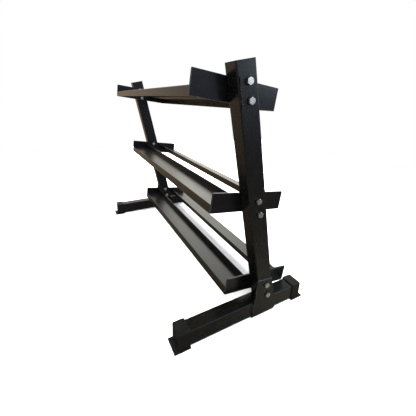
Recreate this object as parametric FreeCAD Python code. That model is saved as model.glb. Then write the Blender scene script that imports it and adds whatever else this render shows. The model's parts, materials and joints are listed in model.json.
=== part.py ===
import FreeCAD, Part
import math
import os

# Three-tier dumbbell rack.  Millimetres, +Z up, the user stands on the -Y side.
# The origin is on the floor at the centre of the footprint.

# Frame width and the two floor rails
FRAME_WIDTH = 1115.0        # outer face to outer face of the uprights
TUBE = 50.0                 # width of the tube of uprights and floor rails, along X
TUBE_DEPTH = 60.0           # front to back in the uprights, height of the floor rails
TUBE_WALL = 3.0
TUBE_CORNER = 4.0
RAIL_LIFT = 4.0             # underside of the floor rails above the floor
RAIL_LENGTH = 508.0

# Uprights lean back, away from the user
LEAN = 12.0                 # degrees from vertical
FOOT_Y = -99.5              # where the upright axis meets the floor
UPRIGHT_AXIS = 851.0        # floor to top along the axis
TOP_CAP = 3.0
PLUG_DEPTH = 14.0

# Trays
TIER_AXIS = {"bottom": 113.0, "middle": 446.0, "top": 779.0}   # along the upright axis
TRAY_TILT = 7.5             # degrees, lower at the user's side
PLATE_LENGTH = 276.0
PLATE_HEIGHT = 64.0
TRAY_FORWARD = 2.0          # middle of the tray in front of the upright axis
PLATE = 5.0
SHELF_WIDTH = 92.0          # each of the two folded shelf rails of a tray
SHEET = 3.0
SKIRT = 26.0                # outer edge, folded down from the shelf surface
SHELF_HEIGHT = 46.5         # top of the inner edge, folded up
BEND = 4.0

# Gusset plates join upright and floor rail on the outside
GUSSET = 5.0
GUSSET_TOP = 152.0          # height of the upper front corner
GUSSET_TOP_WIDTH = 60.0
GUSSET_FOOT_WIDTH = 111.0
GUSSET_TOP_LEAD = -2.0      # how far it stands out in front of the upright
GUSSET_FOOT_LEAD = 4.0
GUSSET_CORNER = 10.0        # cut off the lower front corner

# Backing plates under the upper bolts
BACKING = 3.0
BACKING_HEIGHT = 74.0
BACKING_WIDTH = 50.0
BACKING_CORNER = 6.0

# M10 fasteners
BOLT = 10.0
HOLE = 11.0
BOLT_SPACING = 46.0
ACROSS_FLATS = 17.0
HEAD = 6.4
NUT = 8.0
WASHER = 2.0
WASHER_OUTER = 20.0
WASHER_INNER = 10.5

# Foot caps slip over the ends of the floor rails
CAP_WALL = 4.0
CAP_END = 3.0
CAP_LENGTH = 41.0
CAP_FLANGE = 5.0
CAP_FLANGE_SIDE = 3.0
CAP_FLANGE_END = 15.0
CAP_CORNER = 3.0

X_OUT = FRAME_WIDTH / 2.0
X_IN = X_OUT - TUBE
X_TRAY = X_IN - PLATE
RAIL_TOP = RAIL_LIFT + TUBE_DEPTH
SIDES = {"left": -1.0, "right": 1.0}
EDGE = 0.8                  # small edge break on plates

V = FreeCAD.Vector
X_AXIS = V(1, 0, 0)


def box(x0, x1, y0, y1, z0, z1):
    return Part.makeBox(x1 - x0, y1 - y0, z1 - z0, V(x0, y0, z0))


def edges_along(shape, direction):
    """Straight edges that run parallel to a direction."""
    found = []
    for edge in shape.Edges:
        if edge.Curve.TypeId != "Part::GeomLine":
            continue
        if abs(abs(edge.tangentAt(edge.FirstParameter).dot(direction)) - 1.0) < 1e-6:
            found.append(edge)
    return found


def rounded(shape, radius, direction):
    return shape.makeFillet(radius, edges_along(shape, direction))


def centred_bar(inset, z0, z1, corner):
    """Bar along +Z with the outline of the tube, drawn in by an inset."""
    x = TUBE / 2.0 - inset
    y = TUBE_DEPTH / 2.0 - inset
    return rounded(box(-x, x, -y, y, z0, z1), corner, V(0, 0, 1))


def rectangular_tube(length):
    """Tube along +Z, centred on the axis."""
    outer = centred_bar(0.0, 0, length, TUBE_CORNER)
    return outer.cut(centred_bar(TUBE_WALL, 0, length, TUBE_CORNER - 2.0))


def lean(shape, x):
    """Place something built along +Z onto the axis of an upright."""
    placed = shape.copy()
    placed.rotate(V(0, 0, 0), X_AXIS, -LEAN)
    placed.translate(V(x, FOOT_Y, 0))
    return placed


def on_axis(distance, across=0.0):
    """Point (y, z) on the upright axis; across is measured towards the back."""
    a = math.radians(LEAN)
    y = FOOT_Y + distance * math.sin(a) + across * math.cos(a)
    z = distance * math.cos(a) - across * math.sin(a)
    return y, z


def bolt_points(tier):
    """The two bolt centres (y, z) of one tier, one above the other."""
    middle = TIER_AXIS[tier]
    return [on_axis(middle + BOLT_SPACING / 2.0), on_axis(middle - BOLT_SPACING / 2.0)]


def drilled(shape, points, diameter, x0, x1):
    for y, z in points:
        drill = Part.makeCylinder(diameter / 2.0, x1 - x0, V(x0, y, z), X_AXIS)
        shape = shape.cut(drill)
    return shape


def mirrored(shape, side):
    """Parts are built for the right-hand end and mirrored to the left."""
    if side > 0:
        return shape
    return shape.mirror(V(0, 0, 0), X_AXIS)


def tray_frame(shape, tier):
    """Place something built about the middle of an end plate into its tier."""
    y, z = on_axis(TIER_AXIS[tier])
    placed = shape.copy()
    placed.translate(V(0, -TRAY_FORWARD, 0))
    placed.rotate(V(0, 0, 0), X_AXIS, TRAY_TILT)
    placed.translate(V(0, y, z))
    return placed


def upright():
    tube = lean(rectangular_tube(UPRIGHT_AXIS - TOP_CAP), X_OUT - TUBE / 2.0)
    tube = tube.cut(box(X_IN - 5, X_OUT + 5, -400, 400, -50, RAIL_TOP))
    for tier in TIER_AXIS:
        tube = drilled(tube, bolt_points(tier), HOLE, X_IN - 5, X_OUT + 5)
    return tube


def upright_cap():
    """Closure of the open top: a flat cap with a plug inside the tube."""
    start = UPRIGHT_AXIS - TOP_CAP
    lid = centred_bar(0.0, start, UPRIGHT_AXIS, TUBE_CORNER)
    top = [e for e in lid.Edges if min(v.Z for v in e.Vertexes) > UPRIGHT_AXIS - 0.01]
    lid = lid.makeFillet(1.0, top)
    plug = TUBE_WALL + 0.2
    stem = centred_bar(plug, start - PLUG_DEPTH, start, 2.0)
    stem = stem.cut(centred_bar(plug + 2.5, start - PLUG_DEPTH, start - 3.0, 1.0))
    return lean(lid.fuse(stem).removeSplitter(), X_OUT - TUBE / 2.0)


def floor_rail():
    tube = rectangular_tube(RAIL_LENGTH)
    tube.rotate(V(0, 0, 0), X_AXIS, -90)
    tube.translate(V(X_OUT - TUBE / 2.0, -RAIL_LENGTH / 2.0, RAIL_LIFT + TUBE_DEPTH / 2.0))
    return tube


def foot_cap(back):
    """Rubber cap over a rail end, with a flat flange on the floor."""
    half = TUBE / 2.0 + CAP_WALL
    centre = X_OUT - TUBE / 2.0
    tip = RAIL_LENGTH / 2.0 + CAP_END
    start = tip - CAP_LENGTH
    body = box(centre - half, centre + half, start, tip, 0, RAIL_TOP + CAP_WALL)
    body = rounded(body, CAP_CORNER, V(0, 0, 1))
    top = [e for e in body.Edges if min(v.Z for v in e.Vertexes) > RAIL_TOP + CAP_WALL - 0.01]
    body = body.makeFillet(2.0, top)
    wide = half + CAP_FLANGE_SIDE
    flange = box(centre - wide, centre + wide, start, tip + CAP_FLANGE_END, 0, CAP_FLANGE)
    flange = rounded(flange, 2.0, V(0, 0, 1))
    top = [e for e in flange.Edges if min(v.Z for v in e.Vertexes) > CAP_FLANGE - 0.01]
    flange = flange.makeFillet(1.2, top)
    socket_half = TUBE / 2.0
    socket = box(centre - socket_half, centre + socket_half, start - 1,
                 RAIL_LENGTH / 2.0, RAIL_LIFT, RAIL_TOP)
    socket = rounded(socket, TUBE_CORNER, V(0, 1, 0))
    cap = body.fuse(flange).removeSplitter().cut(socket)
    if back:
        return cap
    return cap.mirror(V(0, 0, 0), V(0, 1, 0))


def gusset():
    """Outer plate: follows the upright's lean and flares out towards the floor rail."""
    slope = math.tan(math.radians(LEAN))
    face = FOOT_Y - TUBE_DEPTH / 2.0 / math.cos(math.radians(LEAN))
    rise = GUSSET_TOP_WIDTH * math.tan(math.radians(TRAY_TILT))
    foot = RAIL_LIFT
    top_y = face + GUSSET_TOP * slope - GUSSET_TOP_LEAD
    foot_y = face + foot * slope - GUSSET_FOOT_LEAD
    edge_slope = (top_y - foot_y) / (GUSSET_TOP - foot)
    outline = [
        (foot_y + GUSSET_CORNER, foot),
        (foot_y + GUSSET_FOOT_WIDTH, foot),
        (top_y + GUSSET_TOP_WIDTH, GUSSET_TOP + rise),
        (top_y, GUSSET_TOP),
        (foot_y + GUSSET_CORNER * edge_slope, foot + GUSSET_CORNER),
    ]
    points = [V(X_OUT, y, z) for y, z in outline]
    plate = Part.Face(Part.makePolygon(points + [points[0]])).extrude(V(GUSSET, 0, 0))
    outer = [e for e in plate.Edges if min(v.X for v in e.Vertexes) > X_OUT + GUSSET - 0.01]
    plate = plate.makeChamfer(EDGE, outer)
    return drilled(plate, bolt_points("bottom"), HOLE, X_OUT - 1, X_OUT + GUSSET + 1)


def backing_plate():
    """Rounded plate on the outer face of the upright, under the upper bolt heads."""
    half = TUBE / 2.0
    wide = BACKING_WIDTH / 2.0
    tall = BACKING_HEIGHT / 2.0
    middle = TIER_AXIS["top"]
    plate = box(half, half + BACKING, -wide, wide, middle - tall, middle + tall)
    plate = rounded(plate, BACKING_CORNER, X_AXIS)
    outer = [e for e in plate.Edges if min(v.X for v in e.Vertexes) > half + BACKING - 0.01]
    plate = lean(plate.makeFillet(EDGE, outer), X_OUT - half)
    return drilled(plate, bolt_points("top"), HOLE, X_OUT - 1, X_OUT + BACKING + 1)


def end_plate(tier):
    half = PLATE_LENGTH / 2.0
    tall = PLATE_HEIGHT / 2.0
    plate = box(X_TRAY, X_IN, -half, half, -tall, tall)
    plate = rounded(plate, 1.5, X_AXIS)
    outer = [e for e in plate.Edges if min(v.X for v in e.Vertexes) > X_IN - 0.01]
    plate = plate.makeChamfer(EDGE, outer)
    return drilled(tray_frame(plate, tier), bolt_points(tier), HOLE, X_TRAY - 1, X_IN + 1)


def shelf_rail(tier, back):
    """Folded sheet: skirt down at the outside, flat shelf, low wall up at the inside."""
    outline = [
        (0, 0), (SHEET, 0), (SHEET, SKIRT - SHEET), (SHELF_WIDTH, SKIRT - SHEET),
        (SHELF_WIDTH, SHELF_HEIGHT), (SHELF_WIDTH - SHEET, SHELF_HEIGHT),
        (SHELF_WIDTH - SHEET, SKIRT), (0, SKIRT),
    ]
    half = PLATE_LENGTH / 2.0
    tall = PLATE_HEIGHT / 2.0
    points = [V(-X_TRAY, half - u, v - tall) for u, v in outline]
    rail = Part.Face(Part.makePolygon(points + [points[0]])).extrude(V(2.0 * X_TRAY, 0, 0))
    outer = {(0, SKIRT), (SHELF_WIDTH, SKIRT - SHEET)}
    inner = {(SHEET, SKIRT - SHEET), (SHELF_WIDTH - SHEET, SKIRT)}
    for corners, radius in ((outer, BEND), (inner, BEND - SHEET)):
        wanted = [(half - u, v - tall) for u, v in corners]
        edges = []
        for edge in edges_along(rail, X_AXIS):
            p = edge.Vertexes[0]
            if any(abs(p.Y - y) < 0.01 and abs(p.Z - z) < 0.01 for y, z in wanted):
                edges.append(edge)
        rail = rail.makeFillet(radius, edges)
    if not back:
        rail = rail.mirror(V(0, 0, 0), V(0, 1, 0))
    return tray_frame(rail, tier)


def hexagon(x0, x1):
    """Hexagonal prism along X with two corners up and down."""
    radius = ACROSS_FLATS / math.sqrt(3.0)
    corners = []
    for i in range(6):
        a = math.radians(60.0 * i)
        corners.append(V(x0, radius * math.sin(a), radius * math.cos(a)))
    return Part.Face(Part.makePolygon(corners + [corners[0]])).extrude(V(x1 - x0, 0, 0))


def tapered_hexagon(x0, x1, outward):
    """Hexagon whose corners are turned off at the outer end, or at both ends."""
    body = hexagon(x0, x1)
    length = x1 - x0
    cone = Part.makeCone(ACROSS_FLATS / 2.0 + length * 1.7, ACROSS_FLATS / 2.0, length,
                         V(x0, 0, 0), X_AXIS)
    if outward:
        return body.common(cone)
    other = Part.makeCone(ACROSS_FLATS / 2.0, ACROSS_FLATS / 2.0 + length * 1.7, length,
                          V(x0, 0, 0), X_AXIS)
    return body.common(cone).common(other)


def seat(tier):
    """Outer face that the bolt heads of a tier bear on."""
    if tier == "top":
        return X_OUT + BACKING
    if tier == "bottom":
        return X_OUT + GUSSET
    return X_OUT


def at_bolts(shapes, tier):
    """One copy of the shapes at each bolt centre of a tier."""
    placed = []
    for y, z in bolt_points(tier):
        for shape in shapes:
            one = shape.copy()
            one.translate(V(0, y, z))
            placed.append(one)
    return Part.makeCompound(placed)


def bolts(tier):
    under_head = seat(tier) + WASHER
    length = 70.0 if tier == "middle" else 75.0
    shank = Part.makeCylinder(BOLT / 2.0, length + 1.0, V(under_head - length, 0, 0), X_AXIS)
    tip = [e for e in shank.Edges if e.BoundBox.XMax < under_head - length + 0.01]
    shank = shank.makeChamfer(1.2, tip)
    head = tapered_hexagon(under_head, under_head + HEAD, True)
    return at_bolts([head.fuse(shank).removeSplitter()], tier)


def washer(x0):
    ring = Part.makeCylinder(WASHER_OUTER / 2.0, WASHER, V(x0, 0, 0), X_AXIS)
    return ring.cut(Part.makeCylinder(WASHER_INNER / 2.0, WASHER, V(x0, 0, 0), X_AXIS))


def washers(tier):
    return at_bolts([washer(seat(tier)), washer(X_TRAY - WASHER)], tier)


def nuts(tier):
    x1 = X_TRAY - WASHER
    body = tapered_hexagon(x1 - NUT, x1, False)
    bore = Part.makeCylinder(BOLT / 2.0 + 0.1, NUT, V(x1 - NUT, 0, 0), X_AXIS)
    return at_bolts([body.cut(bore)], tier)


def save(name, shape):
    shape.exportStep("parts/" + name + ".step")


os.makedirs("parts", exist_ok=True)
for side_name, side in SIDES.items():
    save("upright_" + side_name, mirrored(upright(), side))
    save("upright_cap_" + side_name, mirrored(upright_cap(), side))
    save("floor_rail_" + side_name, mirrored(floor_rail(), side))
    save("foot_cap_rear_" + side_name, mirrored(foot_cap(True), side))
    save("foot_cap_front_" + side_name, mirrored(foot_cap(False), side))
    save("gusset_" + side_name, mirrored(gusset(), side))
    save("backing_plate_" + side_name, mirrored(backing_plate(), side))
    for tier_name in TIER_AXIS:
        label = tier_name + "_" + side_name
        save("end_plate_" + label, mirrored(end_plate(tier_name), side))
        save("bolts_" + label, mirrored(bolts(tier_name), side))
        save("washers_" + label, mirrored(washers(tier_name), side))
        save("nuts_" + label, mirrored(nuts(tier_name), side))
for tier_name in TIER_AXIS:
    save("shelf_rail_rear_" + tier_name, shelf_rail(tier_name, True))
    save("shelf_rail_front_" + tier_name, shelf_rail(tier_name, False))
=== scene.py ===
import json
import math

import bpy
from mathutils import Matrix, Vector


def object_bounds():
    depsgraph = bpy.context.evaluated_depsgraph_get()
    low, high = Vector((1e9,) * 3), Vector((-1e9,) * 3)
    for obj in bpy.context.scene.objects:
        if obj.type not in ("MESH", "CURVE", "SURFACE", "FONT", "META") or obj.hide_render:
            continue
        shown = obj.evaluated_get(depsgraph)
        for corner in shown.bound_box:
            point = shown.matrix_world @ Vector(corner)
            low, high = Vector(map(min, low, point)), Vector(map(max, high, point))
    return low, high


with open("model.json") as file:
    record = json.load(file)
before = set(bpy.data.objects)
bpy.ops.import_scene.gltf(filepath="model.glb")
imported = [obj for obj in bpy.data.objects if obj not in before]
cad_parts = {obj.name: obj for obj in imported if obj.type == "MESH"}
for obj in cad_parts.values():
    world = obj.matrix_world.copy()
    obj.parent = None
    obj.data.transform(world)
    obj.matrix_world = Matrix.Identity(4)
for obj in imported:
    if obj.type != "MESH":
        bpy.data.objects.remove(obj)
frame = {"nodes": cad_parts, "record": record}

CAD_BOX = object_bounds()

# Direction in which a coat's streaks run: noise is stretched along that axis
ALONG_X = (0.06, 1.0, 1.0)
ALONG_Y = (1.0, 0.06, 1.0)
ALONG_Z = (1.0, 1.0, 0.06)

# Powder coat of the tubes: darkest, lightest, and the lighter edge colour, partly rubbed wear and
# partly a painted edge highlight
FRAME_DARK = (0.0012, 0.0012, 0.0011)
FRAME_LIGHT = (0.0018, 0.0017, 0.0016)
FRAME_WORN_AND_HIGHLIT = (0.030, 0.030, 0.030)
FRAME_ROUGHNESS = 0.26

# How much of each effect shows, and depths of surface relief in metres
DUST_AMOUNT = 0.12
RUB_AND_HIGHLIGHT_AMOUNT = 0.85
PEEL_DEPTH = 0.00008
TURNING_DEPTH = 0.00004
LEATHER_DEPTH = 0.0002
SCUFF_AMOUNT = 0.30
STAIN_AMOUNT = 0.5

FLOOR_SIZE = 6.0
FLOOR_GAP = 0.0005

# Name, place, aim, width, height, radiance, colour, seen in reflections
LIGHTS = [
    ("floor_wash", (0.0, 0.0, 3.2), (0, 0, 0), 6.5, 6.5, 7.0, (1.0, 1.0, 1.0), False),
    ("window_far", (2.75, -2.35, 1.70), (0.0, 0.0, 0.4), 2.0, 2.2, 2.1, (0.98, 1.0, 0.93), True),
    ("window_side", (3.60, -0.75, 1.50), (0.0, 0.0, 0.4), 1.9, 2.2, 0.75, (1.0, 1.0, 0.96), True),
    ("cool_front", (-2.1, -2.2, 1.50), (-0.5, 0.0, 0.7), 1.5, 1.1, 3.3, (0.75, 0.87, 1.0), True),
    ("soft_top", (0.3, 0.6, 2.6), (0, 0, 0.4), 1.6, 1.6, 0.5, (1.0, 0.98, 0.95), True),
]

# Room light by height: z of the direction, then radiance.  The near side is -X, the far side +X.
NEAR_SIDE = [
    (-0.95, (0.08, 0.075, 0.05)),
    (-0.76, (0.10, 0.095, 0.065)),
    (-0.64, (0.40, 0.385, 0.30)),
    (-0.50, (0.15, 0.14, 0.12)),
    (-0.20, (0.14, 0.145, 0.16)),
    (0.00, (0.30, 0.33, 0.42)),
    (0.30, (0.55, 0.62, 0.74)),
]
FAR_SIDE = [
    (-0.80, (0.08, 0.06, 0.035)),
    (-0.50, (0.17, 0.125, 0.085)),
    (-0.28, (0.34, 0.26, 0.17)),
    (0.00, (0.66, 0.49, 0.33)),
    (0.20, (0.64, 0.54, 0.45)),
    (0.50, (0.35, 0.33, 0.30)),
    (0.80, (0.15, 0.15, 0.15)),
]
SIDES_BLEND = 0.35          # x of the direction over which one side turns into the other

CAMERA_PLACE = (-1.0709, 0.4553, 0.7389)
CAMERA_FORWARD = (0.8322, -0.45235, -0.32064)
CAMERA_ROLL = 1.46          # degrees
CAMERA_LENS = 21.157
CAMERA_SENSOR = 36.0
CAMERA_SHIFT = (0.0054, -0.0606)


# ---------------------------------------------------------------- node helpers
class Tree:
    """Small wrapper for building a material's node tree."""

    def __init__(self, name):
        self.material = bpy.data.materials.new(name)
        self.material.use_nodes = True
        self.nt = self.material.node_tree
        self.nt.nodes.clear()
        self.out = self.nt.nodes.new("ShaderNodeOutputMaterial")
        self.bsdf = self.nt.nodes.new("ShaderNodeBsdfPrincipled")
        self.link(self.bsdf.outputs["BSDF"], self.out.inputs["Surface"])
        self.object_coords = self.nt.nodes.new("ShaderNodeTexCoord").outputs["Object"]

    def link(self, a, b):
        self.nt.links.new(a, b)

    def put(self, value, socket):
        if isinstance(value, bpy.types.NodeSocket):
            self.link(value, socket)
        else:
            socket.default_value = value

    def scaled(self, scale):
        node = self.nt.nodes.new("ShaderNodeVectorMath")
        node.operation = "MULTIPLY"
        self.link(self.object_coords, node.inputs[0])
        node.inputs[1].default_value = scale
        return node.outputs["Vector"]

    def noise(self, scale, detail=3.0, rough=0.55, stretch=(1, 1, 1)):
        node = self.nt.nodes.new("ShaderNodeTexNoise")
        self.link(self.scaled(stretch), node.inputs["Vector"])
        node.inputs["Scale"].default_value = scale
        node.inputs["Detail"].default_value = detail
        node.inputs["Roughness"].default_value = rough
        return node.outputs["Fac"]

    def cells(self, scale):
        node = self.nt.nodes.new("ShaderNodeTexVoronoi")
        self.link(self.object_coords, node.inputs["Vector"])
        node.inputs["Scale"].default_value = scale
        return node.outputs["Distance"]

    def math(self, operation, a, b):
        node = self.nt.nodes.new("ShaderNodeMath")
        node.operation = operation
        self.put(a, node.inputs[0])
        self.put(b, node.inputs[1])
        return node.outputs["Value"]

    def spread(self, value, low, high, to_low=0.0, to_high=1.0):
        node = self.nt.nodes.new("ShaderNodeMapRange")
        self.put(value, node.inputs["Value"])
        node.inputs["From Min"].default_value = low
        node.inputs["From Max"].default_value = high
        node.inputs["To Min"].default_value = to_low
        node.inputs["To Max"].default_value = to_high
        return node.outputs["Result"]

    def mix(self, factor, a, b):
        node = self.nt.nodes.new("ShaderNodeMix")
        node.data_type = "RGBA"
        self.put(factor, node.inputs["Factor"])
        self.put((*a, 1.0) if isinstance(a, tuple) else a, node.inputs["A"])
        self.put((*b, 1.0) if isinstance(b, tuple) else b, node.inputs["B"])
        return node.outputs["Result"]

    def edge(self, radius):
        """0 on flat faces, rising to 1 on sharp edges."""
        bevel = self.nt.nodes.new("ShaderNodeBevel")
        bevel.samples = 4
        bevel.inputs["Radius"].default_value = radius
        plain = self.nt.nodes.new("ShaderNodeNewGeometry").outputs["Normal"]
        dot = self.nt.nodes.new("ShaderNodeVectorMath")
        dot.operation = "DOT_PRODUCT"
        self.link(bevel.outputs["Normal"], dot.inputs[0])
        self.link(plain, dot.inputs[1])
        return self.spread(dot.outputs["Value"], 0.995, 0.86)

    def bump(self, height, distance, strength):
        node = self.nt.nodes.new("ShaderNodeBump")
        node.inputs["Distance"].default_value = distance
        node.inputs["Strength"].default_value = strength
        self.link(height, node.inputs["Height"])
        return node.outputs["Normal"]

    def finish(self, colour, roughness, normal=None, **values):
        self.put(colour, self.bsdf.inputs["Base Color"])
        self.put(roughness, self.bsdf.inputs["Roughness"])
        if normal is not None:
            self.link(normal, self.bsdf.inputs["Normal"])
        for name, value in values.items():
            self.bsdf.inputs[name.replace("_", " ")].default_value = value
        return self.material


# ---------------------------------------------------------------- materials
def powder_coat(name, dark, light, worn_and_highlit, roughness, specular,
                along=ALONG_Z, rim=0.0011):
    """Baked powder coat: orange peel, faint streaks along the bar, dust, and lighter edges that are
    partly rubbed wear and partly a painted edge highlight.
    """
    t = Tree(name)
    peel = t.noise(520.0, 2.0, 0.5)
    grain = t.noise(1500.0, 2.0, 0.6)
    mottle = t.noise(14.0, 4.0, 0.6)
    streak = t.noise(240.0, 3.0, 0.6, along)
    dust = t.spread(t.noise(90.0, 5.0, 0.7), 0.50, 0.75)
    # Edges lightened: partly rubbed wear, partly a painted edge highlight
    edge_lightening = t.math("MULTIPLY", t.edge(rim), t.spread(t.noise(60.0, 4.0, 0.65), 0.35, 0.62))
    base = t.mix(t.spread(mottle, 0.32, 0.68), dark, light)
    dusty = t.mix(t.math("MULTIPLY", dust, DUST_AMOUNT), base, tuple(c * 1.6 + 0.001 for c in light))
    colour = t.mix(t.math("MULTIPLY", edge_lightening, RUB_AND_HIGHLIGHT_AMOUNT), dusty, worn_and_highlit)
    rough = t.math("ADD", t.spread(streak, 0.3, 0.7, roughness - 0.02, roughness + 0.02),
                   t.math("MULTIPLY", dust, 0.01))
    height = t.math("ADD", peel, t.math("MULTIPLY", grain, 0.35))
    normal = t.bump(height, PEEL_DEPTH, 0.35)
    return t.finish(colour, rough, normal, Specular_IOR_Level=specular)


def zinc(name):
    """Bright zinc plating on the fasteners, slightly yellowed, with fine turning marks."""
    t = Tree(name)
    mottle = t.noise(160.0, 4.0, 0.6)
    lines = t.noise(900.0, 2.0, 0.6, (0.15, 1.0, 1.0))
    stain = t.spread(t.noise(220.0, 5.0, 0.7), 0.55, 0.75)
    base = t.mix(t.spread(mottle, 0.35, 0.65), (0.78, 0.76, 0.66), (0.90, 0.88, 0.78))
    colour = t.mix(t.math("MULTIPLY", stain, STAIN_AMOUNT), base, (0.46, 0.43, 0.33))
    rough = t.spread(mottle, 0.3, 0.7, 0.22, 0.32)
    return t.finish(colour, rough, t.bump(lines, TURNING_DEPTH, 0.25), Metallic=1.0)


def moulded(name, dark, light, roughness):
    """Moulded plastic or rubber: fine leather-like grain with scuffs."""
    t = Tree(name)
    grain = t.cells(900.0)
    fine = t.noise(1400.0, 2.0, 0.6)
    mottle = t.noise(25.0, 4.0, 0.6)
    scuff = t.spread(t.noise(70.0, 6.0, 0.75, (1.0, 0.4, 1.6)), 0.56, 0.72)
    edge_lightening = t.math("MULTIPLY", t.edge(0.0016), t.spread(t.noise(45.0, 4.0, 0.6), 0.3, 0.65))
    base = t.mix(t.spread(mottle, 0.3, 0.7), dark, light)
    scuffed = t.mix(t.math("MULTIPLY", scuff, SCUFF_AMOUNT), base, tuple(c * 2.6 for c in light))
    colour = t.mix(t.math("MULTIPLY", edge_lightening, 0.5), scuffed, tuple(c * 3.0 for c in light))
    rough = t.math("ADD", t.spread(mottle, 0.3, 0.7, roughness - 0.05, roughness + 0.05),
                   t.math("MULTIPLY", scuff, 0.12))
    height = t.math("ADD", t.math("MULTIPLY", grain, 0.8), t.math("MULTIPLY", fine, 0.4))
    return t.finish(colour, rough, t.bump(height, LEATHER_DEPTH, 0.6), Specular_IOR_Level=0.3)


MATERIALS = {
    "frame_black": powder_coat("frame_black_coat", FRAME_DARK, FRAME_LIGHT, FRAME_WORN_AND_HIGHLIT,
                               FRAME_ROUGHNESS, 0.5),
    # The end plates' bluish edge colour is partly rubbed wear, partly a painted edge highlight
    "plate_black": powder_coat("plate_black_coat", (0.0010, 0.0010, 0.0013),
                               (0.0016, 0.0017, 0.0020), (0.075, 0.078, 0.082), 0.24, 0.5,
                               along=ALONG_Y, rim=0.0016),
    "shelf_black": powder_coat("shelf_black_coat", (0.0014, 0.0013, 0.0011),
                               (0.0022, 0.0020, 0.0018), (0.05, 0.048, 0.045), 0.31, 0.5,
                               along=ALONG_X),
    "fastener_zinc": zinc("fastener_zinc_plate"),
    # Near-black washers: partly a dark washer, partly painted shade standing in for the shadow and
    # dark reflection beside the bolt heads
    "washer_black": powder_coat("washer_black_and_painted_shade", (0.0010, 0.0010, 0.0010),
                                (0.0020, 0.0020, 0.0020), (0.012, 0.012, 0.012), 0.40, 0.3),
    "end_cap": moulded("end_cap_plastic", (0.0020, 0.0020, 0.0020), (0.0036, 0.0036, 0.0036), 0.46),
    "foot_rubber": moulded("foot_rubber_grain", (0.0016, 0.0016, 0.0015),
                           (0.0030, 0.0030, 0.0028), 0.42),
}

# The floor rails have the uprights' coat, with the streaks lying front to back
RAIL_COAT = powder_coat("floor_rail_coat", FRAME_DARK, FRAME_LIGHT, FRAME_WORN_AND_HIGHLIT,
                        FRAME_ROUGHNESS, 0.5, along=ALONG_Y)

SLOT_OF = {s["node"]: s["material_slot"] for s in frame["record"]["subparts"]}
for node, obj in frame["nodes"].items():
    obj.data.materials.clear()
    coat = RAIL_COAT if node.startswith("floor_rail") else MATERIALS[SLOT_OF[node]]
    obj.data.materials.append(coat)


# ---------------------------------------------------------------- stage
def plane(name, size, material):
    """Square, level sheet about the origin."""
    half = size / 2.0
    mesh = bpy.data.meshes.new(name)
    mesh.from_pydata([(-half, -half, 0), (half, -half, 0), (half, half, 0), (-half, half, 0)],
                     [], [(0, 1, 2, 3)])
    obj = bpy.data.objects.new(name, mesh)
    bpy.context.scene.collection.objects.link(obj)
    obj.data.materials.append(material)
    return obj


def floor_material():
    t = Tree("studio_floor_paint")
    mottle = t.noise(1.4, 3.0, 0.5)
    colour = t.mix(t.spread(mottle, 0.3, 0.7), (0.86, 0.86, 0.86), (0.90, 0.90, 0.90))
    return t.finish(colour, t.spread(t.noise(30.0), 0.3, 0.7, 0.82, 0.92), Specular_IOR_Level=0.1)


floor = plane("studio_floor", FLOOR_SIZE, floor_material())
floor.location = (0, 0, CAD_BOX[0].z - FLOOR_GAP)
floor.visible_glossy = False


def softbox(name, location, target, width, height, radiance, colour, glossy):
    """Rectangular soft light whose face has a given brightness."""
    data = bpy.data.lights.new(name, "AREA")
    data.shape = "RECTANGLE"
    data.size = width
    data.size_y = height
    data.energy = radiance * math.pi * width * height
    data.color = colour
    lamp = bpy.data.objects.new(name, data)
    bpy.context.scene.collection.objects.link(lamp)
    lamp.location = location
    lamp.rotation_euler = (Vector(target) - Vector(location)).to_track_quat("-Z", "Y").to_euler()
    lamp.visible_glossy = glossy


for light in LIGHTS:
    softbox(*light)


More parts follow.
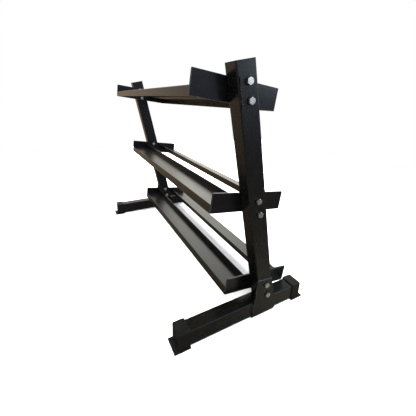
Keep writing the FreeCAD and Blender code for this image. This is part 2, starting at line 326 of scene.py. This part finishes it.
def room_light():
    """Plain soft room: white to the eye, dim and a little warm towards the floor in reflections."""
    world = bpy.data.worlds.new("soft_room")
    world.use_nodes = True
    nt = world.node_tree
    nt.nodes.clear()
    direction = nt.nodes.new("ShaderNodeTexCoord").outputs["Generated"]
    split = nt.nodes.new("ShaderNodeSeparateXYZ")
    nt.links.new(direction, split.inputs[0])
    height = nt.nodes.new("ShaderNodeMapRange")
    height.inputs["From Min"].default_value = -1.0
    height.inputs["From Max"].default_value = 1.0
    nt.links.new(split.outputs["Z"], height.inputs["Value"])
    sideways = nt.nodes.new("ShaderNodeMapRange")
    sideways.inputs["From Min"].default_value = -SIDES_BLEND
    sideways.inputs["From Max"].default_value = SIDES_BLEND
    nt.links.new(split.outputs["X"], sideways.inputs["Value"])

    def ramp(stops):
        """Colours by height: each stop is the direction's z and a radiance."""
        node = nt.nodes.new("ShaderNodeValToRGB")
        node.color_ramp.interpolation = "EASE"
        elements = node.color_ramp.elements
        while len(elements) < len(stops):
            elements.new(0.5)
        for element, (z, colour) in zip(elements, stops):
            element.position = (z + 1.0) / 2.0
            element.color = (*colour, 1.0)
        nt.links.new(height.outputs["Result"], node.inputs["Fac"])
        return node.outputs["Color"]

    near_side = ramp(NEAR_SIDE)
    far_side = ramp(FAR_SIDE)
    blend = nt.nodes.new("ShaderNodeMix")
    blend.data_type = "RGBA"
    nt.links.new(sideways.outputs["Result"], blend.inputs["Factor"])
    nt.links.new(near_side, blend.inputs["A"])
    nt.links.new(far_side, blend.inputs["B"])
    sky = nt.nodes.new("ShaderNodeBackground")
    nt.links.new(blend.outputs["Result"], sky.inputs["Color"])
    white = nt.nodes.new("ShaderNodeBackground")
    white.inputs["Color"].default_value = (1, 1, 1, 1)
    path = nt.nodes.new("ShaderNodeLightPath")
    choose = nt.nodes.new("ShaderNodeMixShader")
    nt.links.new(path.outputs["Is Camera Ray"], choose.inputs["Fac"])
    nt.links.new(sky.outputs["Background"], choose.inputs[1])
    nt.links.new(white.outputs["Background"], choose.inputs[2])
    out = nt.nodes.new("ShaderNodeOutputWorld")
    nt.links.new(choose.outputs["Shader"], out.inputs["Surface"])
    return world


bpy.context.scene.world = room_light()

# ---------------------------------------------------------------- camera
forward = Vector(CAMERA_FORWARD).normalized()
side = forward.cross(Vector((0, 0, 1))).normalized()
up = side.cross(forward)
roll = math.radians(CAMERA_ROLL)
right = side * math.cos(roll) + up * math.sin(roll)
above = up * math.cos(roll) - side * math.sin(roll)

cam_data = bpy.data.cameras.new("camera")
cam_data.sensor_width = CAMERA_SENSOR
cam_data.lens = CAMERA_LENS
cam_data.shift_x = CAMERA_SHIFT[0]
cam_data.shift_y = CAMERA_SHIFT[1]
cam_data.clip_start = 0.01
cam_data.clip_end = 100.0
camera = bpy.data.objects.new("camera", cam_data)
bpy.context.scene.collection.objects.link(camera)
turn = Matrix((right, above, -forward)).transposed().to_4x4()
camera.matrix_world = Matrix.Translation(CAMERA_PLACE) @ turn
bpy.context.scene.camera = camera

bpy.context.scene.view_settings.view_transform = "Standard"
bpy.context.scene.view_settings.look = "None"
